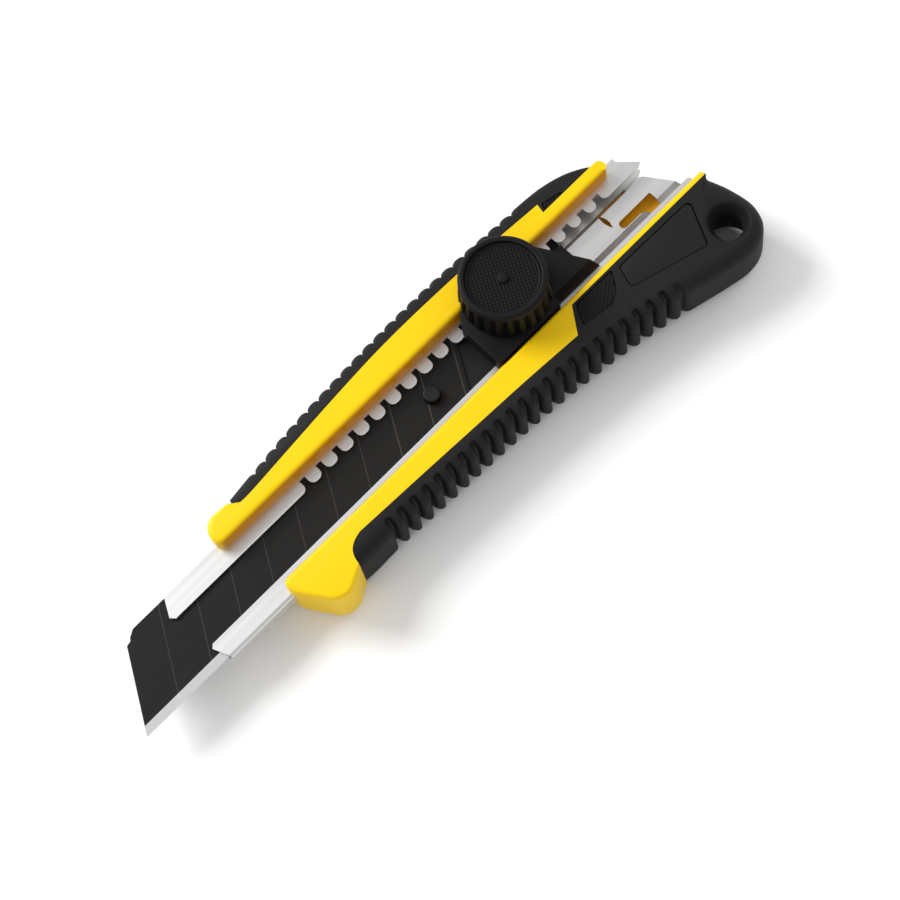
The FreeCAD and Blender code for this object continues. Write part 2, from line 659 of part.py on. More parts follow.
slider_body = new_body("slider_body")
deck = corners([(deck_front, -5.5, 3), (deck_front, deck_half, 1.5), (deck_rear, deck_half, 1.5),
                (deck_rear, -deck_half), (-21.5, -deck_half, 2)])
pad(slider_body, "deck", deck, "sizes.deck_base", "sizes.deck_top - sizes.deck_base")
ramp = slider_body.newObject("PartDesign::AdditiveLoft", "slider_thumb_ramp")
ramp.Profile = new_sketch(slider_body, "ramp_base", "XY_Plane", "sizes.deck_base",
                          corners([(deck_rear + 1, -9.0), (-51.5, -9.0), (-60.0, 7.4), (deck_rear + 1, 7.4)]))
ramp.Sections = [new_sketch(slider_body, "ramp_top", "XY_Plane", "sizes.deck_top",
                            corners([(deck_rear + 1, -9.0), (-49.6, -9.0), (-57.8, 6.2), (deck_rear + 1, 6.2)]))]
ramp.Ruled = True
doc.recompute()
pad(slider_body, "web", box_outline(-57.0, -5.2, deck_front - 0.3, 6.6), "0", "sizes.deck_base + 0.2")
shoe_low = -value("shoe_depth")
pad(slider_body, "rear_shoe", box_outline(-57.0, -shoe, -48.5, shoe), f"{shoe_low}", f"{-shoe_low}")
shoe_front = -20.0
pad(slider_body, "front_shoe", box_outline(carrier_rear, -shoe, shoe_front, shoe), f"{0.02 - thick}",
    f"{thick - 0.02}")
clamp_room = box_outline(-47.2, -shoe - 1, carrier_rear - 0.6, shoe + 1)
cut(slider_body, "clamp_room", clamp_room, "0.2", "1")
cut(slider_body, "stud_hole", circle(knob_x, knob_y, stud_hole), "sizes.deck_top + 1", "12")
cut(slider_body, "washer_seat", circle(knob_x, knob_y, value("washer_radius") + 0.1), "sizes.deck_top + 1",
    "2 * sizes.washer_thick + 0.9")
holes = [part for side in (-1, 1) for part in circle(rivet_x, side * rivet_spread, rivet_radius)]
cut(slider_body, "rivet_holes", holes, "3.5", "6")

rivets = []
for side in (-1, 1):
    rivet = doc.addObject("Part::Cylinder", f"carrier_rivet_{side + 1}")
    rivet.setExpression("Radius", "sizes.fastener_radius")
    rivet.Height = carrier_low + 3.4
    rivet.Placement.Base = Vector(rivet_x, side * rivet_spread, -carrier_low)
    rivets.append(rivet)
carrier_rivets = doc.addObject("Part::Compound", "carrier_rivets")
carrier_rivets.Links = rivets
doc.recompute()

# A split spring washer and a flat thrust washer between slider and knob.
seat = deck_top + 0.1 - 2 * value("washer_thick")
washer = value("washer_radius")
spring_washer = new_body("spring_washer")
pad(spring_washer, "ring", circle(knob_x, knob_y, washer) + circle(knob_x, knob_y, washer_hole),
    f"{seat}", "sizes.washer_thick")
cut(spring_washer, "split", box_outline(knob_x, knob_y - 0.4, knob_x + washer + 1, knob_y + 0.4),
    f"{seat + 2}", "4")
thrust_washer = new_body("thrust_washer")
pad(thrust_washer, "ring", circle(knob_x, knob_y, washer) + circle(knob_x, knob_y, washer_hole),
    f"{seat} + sizes.washer_thick", "sizes.washer_thick")

# ---------------------------------------------------------------- clamp

# Steel plate under both lips, drawn up by the stud when the knob is tightened. The stud's
# neck clears the notched lip; above the lips it steps out to the threaded diameter.
stud_neck = 1.4
stud_shoulder = 1.6
clamp_top = lip_low - value("clamp_gap")
clamp_plate = new_body("clamp_plate")
plan = corners([(-46.4, -12.1, 1.5), (-24.4, -12.1, 1.5), (-24.4, 12.1, 1.5), (-46.4, 12.1, 1.5)])
pad(clamp_plate, "plate", plan, f"{clamp_top} - sizes.clamp_thick", "sizes.clamp_thick")
cut(clamp_plate, "stud_hole", circle(knob_x, knob_y, stud_neck), "1", "5")

stud_end = 15.6
ring_groove = 14.7
stud_low = clamp_top - value("clamp_thick")
clamp_stud = new_body("clamp_stud")
spin(clamp_stud, "profile", corners([(0, stud_low), (stud_neck, stud_low), (stud_neck, stud_shoulder),
                                     (value("stud_radius"), stud_shoulder), (value("stud_radius"), stud_end),
                                     (0, stud_end)]))
stop_ring = new_body("stop_ring")
pad(stop_ring, "ring", circle(knob_x, knob_y, value("stud_radius") + 1.5)
    + circle(knob_x, knob_y, value("stud_radius")), f"{ring_groove}", "0.7")

# ---------------------------------------------------------------- knob

# Fluted black knob with a plain rim, a brass threaded insert and a snap-in top disc.
knob_low = deck_top + value("knob_lift")
knob_top = value("knob_top")
knob_radius = value("knob_radius")
rim_low = knob_top - value("knob_rim")
insert_radius = 5.2
insert_low = knob_low + 1.2
insert_top = 13.9
disc_radius = knob_radius - 1.9
disc_low = knob_top - value("knob_recess") - 1.4

knob_body = new_body("knob_body")
profile = corners([(washer_hole, knob_low), (knob_radius - 0.5, knob_low, 0.6), (knob_radius - 0.3, rim_low),
                   (knob_radius, rim_low, 0.3), (knob_radius, knob_top, 0.9), (disc_radius, knob_top, 0.3),
                   (disc_radius, disc_low), (insert_radius, disc_low), (insert_radius, insert_low),
                   (washer_hole, insert_low)])
spin(knob_body, "profile", profile)
flutes = []
for number in range(int(value("knob_flutes"))):
    angle = 2 * math.pi * number / value("knob_flutes")
    flutes += circle((knob_radius + 0.5) * math.cos(angle), (knob_radius + 0.5) * math.sin(angle), 1.2)
cut(knob_body, "flutes", flutes, f"{rim_low - 0.8}", f"{rim_low - 0.8 - knob_low + 1}")

knob_insert = new_body("knob_insert")
spin(knob_insert, "profile", corners([(stud_hole, insert_low), (insert_radius, insert_low),
                                      (insert_radius, insert_top), (stud_hole, insert_top)]))

knob_disc = new_body("knob_disc")
disc_top = knob_top - value("knob_recess")
button_top = disc_top + 0.6
disc_edge = disc_radius - 0.05
spin(knob_disc, "profile", corners([(0, disc_low), (disc_edge, disc_low), (disc_edge, disc_top),
                                    (2.2, disc_top), (1.5, button_top), (0, button_top)]))

# ---------------------------------------------------------------- placement and export

nodes = [blade, blade_carrier, blade_pin, carrier_rivets, rail, rail_rivets, handle_frame, bottom_shell,
         shell_screws, grip_edge_side, grip_spine_side, slider_body, spring_washer, thrust_washer,
         clamp_plate, clamp_stud, stop_ring, knob_body, knob_insert, knob_disc]
nodes += [item for item in doc.Objects if item.Label in INLAYS]
turning = [clamp_stud, knob_body, knob_insert, knob_disc]

doc.recompute()
blade_box = blade.Shape.optimalBoundingBox(False, False)
tail_box = grip_edge_side.Shape.optimalBoundingBox(False, False)
spine_box = grip_spine_side.Shape.optimalBoundingBox(False, False)
origin = Vector((blade_box.XMax + tail_box.XMin) / 2, (tail_box.YMax + spine_box.YMin) / 2, -bottom)
for node in nodes:
    node.Placement.Base = node.Placement.Base - origin
for node in turning:
    node.Placement.Base = node.Placement.Base + Vector(knob_x, knob_y, 0)
doc.recompute()

for item in doc.Objects:
    if "Invalid" in item.State or "Error" in item.State:
        raise RuntimeError(f"{item.Label} failed: {item.State}")
os.makedirs("parts", exist_ok=True)
for node in nodes:
    if node.Shape.isNull() or not node.Shape.isValid():
        raise RuntimeError(f"{node.Label} has no valid shape")
    node.Shape.exportStep(f"parts/{node.Label}.step")
    box = node.Shape.BoundBox
    print(f"{node.Label:18} solids {len(node.Shape.Solids)} volume {node.Shape.Volume:9.1f} mm3 "
          f"x {box.XMin:7.2f} {box.XMax:7.2f} y {box.YMin:7.2f} {box.YMax:7.2f} z {box.ZMin:6.2f} {box.ZMax:6.2f}")
print("design point in the row frame", -origin)
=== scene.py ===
import math

import bmesh
import bpy
from mathutils import Matrix, Vector


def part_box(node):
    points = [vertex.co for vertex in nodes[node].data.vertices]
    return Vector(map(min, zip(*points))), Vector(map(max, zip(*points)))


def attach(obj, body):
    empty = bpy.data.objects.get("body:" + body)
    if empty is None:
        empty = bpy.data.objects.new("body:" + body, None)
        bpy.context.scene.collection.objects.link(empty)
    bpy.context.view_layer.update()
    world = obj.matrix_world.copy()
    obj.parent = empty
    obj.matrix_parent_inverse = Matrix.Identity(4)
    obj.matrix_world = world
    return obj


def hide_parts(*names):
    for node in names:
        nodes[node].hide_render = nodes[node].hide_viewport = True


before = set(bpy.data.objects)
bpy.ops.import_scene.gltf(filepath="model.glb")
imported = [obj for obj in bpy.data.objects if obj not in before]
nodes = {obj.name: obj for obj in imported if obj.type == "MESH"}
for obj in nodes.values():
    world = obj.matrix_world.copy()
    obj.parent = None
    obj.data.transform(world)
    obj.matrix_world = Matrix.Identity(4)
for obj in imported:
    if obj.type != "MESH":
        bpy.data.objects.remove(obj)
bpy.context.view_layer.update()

# ---------------------------------------------------------------- studio
# The knife lies on its back on a pale table, knob up, under a broad soft light from
# its spine side. All drawing below is in millimetres from the blade pin's axis, at
# the height of the blade's upper face; MM and PIN turn that into the frame's metres.

MM = 0.001
pin_low, pin_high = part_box("blade_pin")
PIN = Vector(((pin_low.x + pin_high.x) / 2, (pin_low.y + pin_high.y) / 2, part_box("blade")[1].z))
TO_FRAME = Matrix.Translation(PIN) @ Matrix.Diagonal((MM, MM, MM, 1))
studio = bpy.context.scene
studio.view_settings.view_transform = "Standard"

camera = bpy.data.objects.new("camera", bpy.data.cameras.new("camera"))
camera.data.lens = 100
camera.data.sensor_width = 36
camera.location = TO_FRAME @ Vector((129.6, 221.5, 648.9))
camera.rotation_euler = [math.radians(angle) for angle in (19.584, 5.379, 134.748)]
studio.collection.objects.link(camera)
studio.camera = camera


def soft_box(name, place, width, watts):
    """A square studio light at a place in metres from the pin, aimed at the knife."""
    lamp = bpy.data.objects.new(name, bpy.data.lights.new(name, "AREA"))
    lamp.data.size = width
    lamp.data.energy = watts
    lamp.location = PIN + Vector(place)
    lamp.rotation_euler = (-Vector(place)).to_track_quat("-Z", "Y").to_euler()
    studio.collection.objects.link(lamp)


# a large key from the spine side, a weak fill from the edge side and another behind the tail
soft_box("key_light", (0.30, -0.85, 0.72), 0.6, 14)
soft_box("fill_light", (0.75, 0.45, 0.75), 0.9, 1.0)
soft_box("tail_light", (-0.75, 0.10, 0.55), 0.6, 1.5)

world = bpy.data.worlds.new("studio_white")
world.use_nodes = True
world.node_tree.nodes["Background"].inputs["Color"].default_value = (1.0, 1.0, 1.0, 1.0)
world.node_tree.nodes["Background"].inputs["Strength"].default_value = 0.60
studio.world = world


def add(tree, kind, sockets=None, **settings):
    """A shader node, with its settings, its plain socket values and its links."""
    made = tree.nodes.new(kind)
    for setting, amount in settings.items():
        setattr(made, setting, amount)
    for socket, source in (sockets or {}).items():
        if isinstance(source, bpy.types.NodeSocket):
            tree.links.new(source, made.inputs[socket])
        else:
            made.inputs[socket].default_value = source
    return made


def finish_of(name, sockets):
    """A material whose Principled shader gets plain values; returns it, its tree and shader."""
    material = bpy.data.materials.new(name)
    material.use_nodes = True
    tree = material.node_tree
    shader = tree.nodes["Principled BSDF"]
    for socket, amount in sockets.items():
        shader.inputs[socket].default_value = amount
    return material, tree, shader


table_paint, table_tree, table_shader = finish_of("table_paint", {"Roughness": 0.9})
speckle = add(table_tree, "ShaderNodeTexNoise", {"Scale": 6.0, "Detail": 2.0})
shade = add(table_tree, "ShaderNodeMix", {"Factor": speckle.outputs["Fac"], "A": (0.93, 0.93, 0.93, 1),
                                         "B": (0.96, 0.96, 0.96, 1)}, data_type="RGBA")
table_tree.links.new(shade.outputs["Result"], table_shader.inputs["Base Color"])
bm = bmesh.new()
bmesh.ops.create_grid(bm, x_segments=4, y_segments=4, size=2.5)
table_mesh = bpy.data.meshes.new("table")
bm.to_mesh(table_mesh)
bm.free()
table = bpy.data.objects.new("table", table_mesh)
table.data.materials.append(table_paint)
studio.collection.objects.link(table)

# ---------------------------------------------------------------- blade
# A snap-off strip of carbon steel, 25 mm wide and 0.7 mm thick, blackened all over
# before its cutting edge is ground bright. Score lines cross it every 12.5 mm.


def grain_group():
    """Fine surface grain and slow mottling, both from 0 to 1."""
    tree = bpy.data.node_groups.new("surface_grain", "ShaderNodeTree")
    tree.interface.new_socket("Grain Scale", in_out="INPUT", socket_type="NodeSocketFloat")
    tree.interface.new_socket("Mottle Scale", in_out="INPUT", socket_type="NodeSocketFloat")
    tree.interface.new_socket("Stretch", in_out="INPUT", socket_type="NodeSocketVector")
    tree.interface.new_socket("Height", in_out="OUTPUT", socket_type="NodeSocketFloat")
    tree.interface.new_socket("Mottle", in_out="OUTPUT", socket_type="NodeSocketFloat")
    inlet = add(tree, "NodeGroupInput")
    place = add(tree, "ShaderNodeTexCoord")
    spread = add(tree, "ShaderNodeVectorMath", {0: place.outputs["Object"], 1: inlet.outputs["Stretch"]},
                 operation="MULTIPLY")
    fine = add(tree, "ShaderNodeTexNoise", {"Vector": spread.outputs[0], "Detail": 3.0, "Roughness": 0.6,
                                            "Scale": inlet.outputs["Grain Scale"]})
    slow = add(tree, "ShaderNodeTexNoise", {"Vector": spread.outputs[0], "Detail": 4.0, "Roughness": 0.55,
                                            "Scale": inlet.outputs["Mottle Scale"]})
    add(tree, "NodeGroupOutput", {"Height": fine.outputs["Fac"], "Mottle": slow.outputs["Fac"]})
    return tree


surface_grain = grain_group()


def grained(tree, shader, scales, bump, stretch=(1, 1, 1)):
    """Grain as bump on a shader; returns the mottling for its colour and roughness."""
    grain = add(tree, "ShaderNodeGroup", node_tree=surface_grain)
    for socket, amount in zip(("Grain Scale", "Mottle Scale", "Stretch"), (*scales, stretch)):
        grain.inputs[socket].default_value = amount
    relief = add(tree, "ShaderNodeBump", {"Height": grain.outputs["Height"], "Strength": 1.0,
                                          "Distance": bump * MM})
    tree.links.new(relief.outputs["Normal"], shader.inputs["Normal"])
    return grain.outputs["Mottle"]


def between(tree, mask, low, high, socket):
    """Drives a socket from low to high as a mask goes from 0 to 1."""
    if isinstance(low, tuple):
        blend = add(tree, "ShaderNodeMix", {"Factor": mask, "A": (*low, 1), "B": (*high, 1)},
                    data_type="RGBA")
        tree.links.new(blend.outputs["Result"], socket)
        return
    span = add(tree, "ShaderNodeMapRange", {"Value": mask, "To Min": low, "To Max": high})
    tree.links.new(span.outputs[0], socket)


def step_above(tree, amount, level, blur):
    """1 where a value is above a level, 0 below it, with a short ramp between."""
    ramp = add(tree, "ShaderNodeMapRange", {"Value": amount, "From Min": level - blur,
                                            "From Max": level + blur})
    return ramp.outputs[0]


BLADE_HALF = 12.5
BEVEL_WIDE = 2.6
SEGMENT = 12.5
SCORE_HALF = 0.016
BLADE_TIP = 121.8
SCORE_SLOPE = 1 / math.tan(math.radians(59.4))
blade_steel, tree, shader = finish_of("blade_steel", {"Specular IOR Level": 0.15})
mottle = grained(tree, shader, (1400.0, 90.0), 0.004, (1, 6, 1))
place = add(tree, "ShaderNodeTexCoord")
axes = add(tree, "ShaderNodeSeparateXYZ", {0: place.outputs["Object"]})
ground = step_above(tree, axes.outputs["Y"], PIN.y + (BLADE_HALF - BEVEL_WIDE) * MM, 0.00004)
# distance along the blade, sheared to be the same all along a score line and counted in
# segments; there is a line wherever the count is whole
sheared = add(tree, "ShaderNodeMath", {0: axes.outputs["Y"], 1: -SCORE_SLOPE, 2: axes.outputs["X"]},
              operation="MULTIPLY_ADD")
first_line = PIN.x + BLADE_TIP * MM - SCORE_SLOPE * (PIN.y + BLADE_HALF * MM)
along = add(tree, "ShaderNodeMath", {0: sheared.outputs[0], 1: first_line}, operation="SUBTRACT")
counted = add(tree, "ShaderNodeMath", {0: along.outputs[0], 1: 1 / (SEGMENT * MM)}, operation="MULTIPLY")
near = add(tree, "ShaderNodeMath", {0: counted.outputs[0]}, operation="FRACT")
away = add(tree, "ShaderNodeMath", {0: near.outputs[0], 1: 0.5}, operation="SUBTRACT")
apart = add(tree, "ShaderNodeMath", {0: away.outputs[0]}, operation="ABSOLUTE")
scored = step_above(tree, apart.outputs[0], 0.5 - SCORE_HALF, SCORE_HALF / 4)
dark = add(tree, "ShaderNodeMix", {"Factor": mottle, "A": (0.006, 0.0056, 0.0052, 1),
                                   "B": (0.011, 0.0103, 0.0095, 1)}, data_type="RGBA")
lined = add(tree, "ShaderNodeMix", {"Factor": scored, "A": dark.outputs["Result"],
                                    "B": (0.045, 0.043, 0.04, 1)}, data_type="RGBA")
body_colour = add(tree, "ShaderNodeMix", {"Factor": ground, "A": lined.outputs["Result"],
                                          "B": (0.90, 0.90, 0.895, 1)}, data_type="RGBA")
tree.links.new(body_colour.outputs["Result"], shader.inputs["Base Color"])
between(tree, ground, 0.0, 1.0, shader.inputs["Metallic"])
between(tree, ground, 0.5, 0.3, shader.inputs["Roughness"])


def paint(piece, material):
    """Gives a piece one material in place of what it has."""
    piece.data.materials.clear()
    piece.data.materials.append(material)


paint(nodes["blade"], blade_steel)

# ---------------------------------------------------------------- rail
# One strip of bright stainless steel, stamped and folded into a shallow channel. Both
# lips lie over the blade, and the one over its spine is notched. Shown as the CAD has it.

stainless, tree, shader = finish_of("stainless", {"Metallic": 1.0})
mottle = grained(tree, shader, (900.0, 120.0), 0.008, (0.10, 3, 3))
between(tree, mottle, (0.66, 0.66, 0.655), (0.78, 0.78, 0.775), shader.inputs["Base Color"])
between(tree, mottle, 0.30, 0.44, shader.inputs["Roughness"])
paint(nodes["rail"], stainless)

# ---------------------------------------------------------------- small metal parts
# Rivets, screws, clamp plate, stud, washers and stop ring are turned or pressed steel with
# a thin zinc coat. The blade's pin and its carrier plate are blackened, the insert is brass.


def plated(name, dark, light, gloss):
    """Bare, plated or blackened metal with a faint mottle in its surface."""
    material, tree, shader = finish_of(name, {"Metallic": 1.0})
    mottle = grained(tree, shader, (1800.0, 140.0), 0.003)
    between(tree, mottle, dark, light, shader.inputs["Base Color"])
    between(tree, mottle, gloss, gloss + 0.14, shader.inputs["Roughness"])
    return material


zinc_steel = plated("zinc_steel", (0.50, 0.51, 0.52), (0.66, 0.67, 0.68), 0.28)
black_steel = plated("black_steel", (0.018, 0.018, 0.019), (0.034, 0.034, 0.035), 0.42)
brass = plated("brass", (0.62, 0.42, 0.16), (0.78, 0.56, 0.24), 0.26)
for name in ("carrier_rivets", "rail_rivets", "shell_screws", "spring_washer", "thrust_washer",
             "clamp_plate", "clamp_stud", "stop_ring"):
    paint(nodes[name], zinc_steel)
paint(nodes["knob_insert"], brass)
paint(nodes["blade_pin"], black_steel)
paint(nodes["blade_carrier"], black_steel)

# ---------------------------------------------------------------- handle frame
# A hard yellow moulding with glass fibre: a floor under the rail, two walls beside it
# and a rounded nose at the front of each. The rail's slot runs right through it.

HANDLE_TOP = 6.5
CHANNEL = 9.9
SLOT_HALF = 13.55
SLOT_LOW = -5.15
SLOT_TOP = 0.95
CORE_LOW = -8.0
NOSE_LOW = -12.4


def rounded(*turns):
    """Points round an outline whose corners (x, y, radius) are turned; the others stay sharp."""
    points = []
    for index, turn in enumerate(turns):
        here = Vector(turn[:2])
        if len(turn) == 2:
            points.append(here)
            continue
        before = (Vector(turns[index - 1][:2]) - here).normalized()
        after = (Vector(turns[(index + 1) % len(turns)][:2]) - here).normalized()
        half = before.angle(after) / 2
        centre = here + (before + after).normalized() * (turn[2] / math.sin(half))
        first = here + before * (turn[2] / math.tan(half)) - centre
        last = here + after * (turn[2] / math.tan(half)) - centre
        start = math.atan2(first.y, first.x)
        sweep = (math.atan2(last.y, last.x) - start + math.pi) % (2 * math.pi) - math.pi
        count = max(2, math.ceil(abs(sweep) / math.radians(9)))
        for step in range(count + 1):
            angle = start + sweep * step / count
            points.append(centre + Vector((math.cos(angle), math.sin(angle))) * turn[2])
    return points


def flow(*knots, step=1.5):
    """Points about a step apart on a smooth line through the knots."""
    knots = [Vector(knot) for knot in knots]
    ends = [2 * knots[0] - knots[1]] + knots + [2 * knots[-1] - knots[-2]]
    points = []
    for a, b, c, d in zip(ends, ends[1:], ends[2:], ends[3:]):
        count = max(1, round((c - b).length / step))
        for number in range(count):
            t = number / count
            points.append((2 * b + (c - a) * t + (2 * a - 5 * b + 4 * c - d) * t ** 2
                           + (3 * b - a - 3 * c + d) * t ** 3) / 2)
    return points + [knots[-1]]


def slab(points, low, high):
    """A prism of an outline between two levels."""
    bm = bmesh.new()
    face = bm.faces.new([bm.verts.new((*point, low)) for point in points])
    raised = bmesh.ops.extrude_face_region(bm, geom=[face])["geom"]
    bmesh.ops.translate(bm, vec=(0, 0, high - low),
                        verts=[item for item in raised if isinstance(item, bmesh.types.BMVert)])
    bmesh.ops.recalc_face_normals(bm, faces=bm.faces)
    return bm


def block(x1, y1, x2, y2, low, high):
    """A box from one corner to the opposite one, between two levels."""
    return slab([(x1, y1), (x2, y1), (x2, y2), (x1, y2)], low, high)


def round_rim(bm, level, radius, segments, where=lambda x, y: True):
    """Rounds the edges at a level whose middle passes a test of its place."""
    rim = []
    for edge in bm.edges:
        first, last = (end.co for end in edge.verts)
        if max(abs(first.z - level), abs(last.z - level)) < 1e-3:
            middle = (first + last) / 2
            if where(middle.x, middle.y):
                rim.append(edge)
    bmesh.ops.bevel(bm, geom=rim, offset=radius, offset_type="OFFSET", segments=segments,
                    profile=0.5, affect="EDGES", clamp_overlap=False, material=-1)


def carved(bm, tool, operation="DIFFERENCE"):
    """A blank with a tool cut from it, joined to it, or kept in common with it."""
    pair = []
    for part in (bm, tool):
        mesh = bpy.data.meshes.new("blank")
        part.to_mesh(mesh)
        part.free()
        pair.append(bpy.data.objects.new("blank", mesh))
        studio.collection.objects.link(pair[-1])
    cutter = pair[0].modifiers.new("cutter", "BOOLEAN")
    cutter.object = pair[1]
    cutter.operation = operation
    cutter.solver = "EXACT"
    result = bmesh.new()
    result.from_object(pair[0], bpy.context.evaluated_depsgraph_get())
    for blank in pair:
        mesh = blank.data
        bpy.data.objects.remove(blank)
        bpy.data.meshes.remove(mesh)
    return result


def in_frame(bm):
    """Takes a piece drawn in millimetres from the pin to its place in the frame."""
    bmesh.ops.remove_doubles(bm, verts=bm.verts, dist=1e-4)
    bmesh.ops.transform(bm, matrix=TO_FRAME, verts=bm.verts)
    return bm


def shown_as(bm, name, body, slot, material, *stands_for, crease=38):
    """Makes a finished piece in the frame, riding on a body, for the CAD nodes it shows."""
    mesh = bpy.data.meshes.new(name)
    bm.to_mesh(mesh)
    bm.free()
    for face in mesh.polygons:
        face.use_smooth = True
    mesh.set_sharp_from_angle(angle=math.radians(crease))
    piece = bpy.data.objects.new(name, mesh)
    studio.collection.objects.link(piece)
    paint(piece, material)
    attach(piece, body)
    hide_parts(*stands_for)


yellow_plastic, tree, shader = finish_of("yellow_plastic", {"Specular IOR Level": 0.2})
mottle = grained(tree, shader, (2600.0, 55.0), 0.006)
place = add(tree, "ShaderNodeTexCoord")
axes = add(tree, "ShaderNodeSeparateXYZ", {0: place.outputs["Object"]})
# painted shade: the mask below is 0 inside the channel and 1 outside it, so that a darker amber can stand
# in for the channel's shade
across = add(tree, "ShaderNodeMath", {0: axes.outputs["Y"], 1: PIN.y}, operation="SUBTRACT")
aside = add(tree, "ShaderNodeMath", {0: across.outputs[0]}, operation="ABSOLUTE")
clear_of_painted_shade = step_above(tree, aside.outputs[0], (CHANNEL + 0.35) * MM, 0.00025)
# painted shade: the channel's own walls and floor are coloured a deeper amber than the faces outside it,
# standing in for the shade that falls inside the channel
light = add(tree, "ShaderNodeMix", {"Factor": mottle, "A": (0.82, 0.53, 0.001, 1),
                                    "B": (0.88, 0.58, 0.002, 1)}, data_type="RGBA")
yellow = add(tree, "ShaderNodeMix", {"Factor": clear_of_painted_shade, "A": (0.62, 0.27, 0.001, 1),
                                     "B": light.outputs["Result"]}, data_type="RGBA")
tree.links.new(yellow.outputs["Result"], shader.inputs["Base Color"])
between(tree, mottle, 0.34, 0.46, shader.inputs["Roughness"])

EDGE_SEAM = [(-39, 19.3), (-20, 18.1), (0, 17.2), (20, 16.3), (42.6, 15.4)]
SPINE_SEAM = [(57, -14.7), (40, -16.0), (20, -17.6), (0, -18.7), (-20, -18.7), (-40, -18.0), (-60, -16.7)]
NOSE_HOLLOW = [(42.6, 15.4), (45.2, 16.1), (47.3, 17.4), (48.6, 19.4), (49.2, 21.9)]
edge_wall = [(-98.6, CHANNEL), (-98.6, 11.7), (-44.5, 11.7)]
edge_wall += flow(*EDGE_SEAM)
nose = flow(*NOSE_HOLLOW, step=0.5)
nose += rounded((49.2, 21.9), (58.4, 28.0, 6), (66.8, 14.8, 7), (67.4, CHANNEL, 2.0),
                (49.2, CHANNEL))[1:-1]
edge_wall += nose[1:]
bm = slab(edge_wall, NOSE_LOW, HANDLE_TOP)
round_rim(bm, HANDLE_TOP, 1.3, 5, lambda x, y: y < 9.95 or x > 49.3)
round_rim(bm, NOSE_LOW, 3.4, 6, lambda x, y: x > 50.5 and y > 10.2)
side = carved(bm, block(-110, 0, 43, 40, NOSE_LOW - 1, CORE_LOW))
spine_wall = rounded((-70.0, -CHANNEL), (72.0, -CHANNEL, 2.5), (72.0, -18.5, 5), (62.6, -17.6))
spine_wall += flow((62.6, -17.6), (60.0, -15.4), *SPINE_SEAM, step=1.2)[1:]
spine_wall += rounded((-60, -16.7), (-59.4, -13.8), (-82.2, -13.8, 1.9), (-82.2, -CHANNEL, 1.9),
                      (-70, -CHANNEL))[1:-1]
bm = slab(spine_wall, NOSE_LOW, HANDLE_TOP)
round_rim(bm, HANDLE_TOP, 1.5, 5, lambda x, y: y > -9.95 or x > 62.8)
round_rim(bm, NOSE_LOW, 2.4, 6, lambda x, y: x > 62.8 and y < -9.95)
other = carved(bm, block(-110, -40, 60.8, 0, NOSE_LOW - 1, CORE_LOW))
floor = slab([(60, CHANNEL + 0.5), (64, -CHANNEL - 0.5), (-82.0, -CHANNEL - 0.5), (-97.5, CHANNEL + 0.5)],
             CORE_LOW, SLOT_LOW)
bm = carved(side, other, "UNION")
bm = carved(bm, block(-110, -SLOT_HALF, 80, SLOT_HALF, SLOT_LOW, SLOT_TOP))
bm = carved(bm, floor, "UNION")
shown_as(in_frame(bm), "frame_moulding", "handle", "yellow_plastic", yellow_plastic, "handle_frame")

# ---------------------------------------------------------------- bottom shell
# The black lid under the frame, a flat moulding with broken edges, held by three
# slotted screws in counterbored holes.


def softened(node, width, segments, angle=30):
    """A merged copy of a CAD node with every sharp edge broken to a width in millimetres."""
    bm = bmesh.new()
    bm.from_mesh(nodes[node].data)
    bmesh.ops.remove_doubles(bm, verts=bm.verts, dist=1e-6)
    bmesh.ops.dissolve_limit(bm, angle_limit=math.radians(0.6), verts=bm.verts, edges=bm.edges)
    sharp = [edge for edge in bm.edges
             if edge.is_manifold and edge.calc_face_angle() > math.radians(angle)]
    bmesh.ops.bevel(bm, geom=sharp, offset=width * MM, offset_type="OFFSET", segments=segments,
                    profile=0.5, affect="EDGES", clamp_overlap=True, material=-1)
    return bm


black_plastic, tree, shader = finish_of("black_plastic", {"Specular IOR Level": 0.14})
mottle = grained(tree, shader, (3200.0, 80.0), 0.012)
between(tree, mottle, (0.0035, 0.0035, 0.0037), (0.007, 0.007, 0.0073), shader.inputs["Base Color"])
between(tree, mottle, 0.50, 0.62, shader.inputs["Roughness"])
shown_as(softened("bottom_shell", 0.7, 3), "bottom_cover", "handle", "black_plastic", black_plastic,
         "bottom_shell")

# ---------------------------------------------------------------- soft grips
# Black thermoplastic elastomer moulded over both sides of the frame. Rounded ribs run
# across the outside of each, deeper on the edge side, which carries on into the tail.

GRIP_LOW = -13.0
RIB_PITCH = 4.5
RIB_COUNT = 24
FIRST_GROOVE = 35.0
LAST_GROOVE = FIRST_GROOVE - (RIB_COUNT - 1) * RIB_PITCH
GROOVE_DEPTH = 2.6
GROOVE_HALF = 0.65
GROOVE_LIP = 1.6
FIRST_VALLEY = 50.6
VALLEY_DEPTH = 1.2
VALLEY_LIP = 2.2
GRIP_EDGE_OUTER = [(56, 21.6), (49.2, 21.9), (44, 22.1), (37, 22.0), (20, 22.9), (0, 23.8), (-20, 25.0),
                   (-40, 27.1), (-50, 28.6), (-60, 30.4), (-70, 32.6), (-80, 35.1)]
GRIP_TAIL = [(-80, 35.1), (-85.0, 36.2), (-90.0, 37.0), (-95.4, 36.2), (-99.8, 33.0), (-101.9, 27.0),
             (-101.0, 19.0), (-98.9, 12.0), (-98.4, CHANNEL)]
GRIP_SPINE_OUTER = [(-79.6, -13.8), (-77.0, -15.8), (-72.0, -18.3), (-66.0, -20.0), (-60, -20.8),
                    (-50, -21.4), (-40, -22.0), (-20, -22.8), (0, -22.7), (20, -21.8), (36, -20.8),
                    (52, -18.9), (62.6, -17.6), (66, -17.3)]

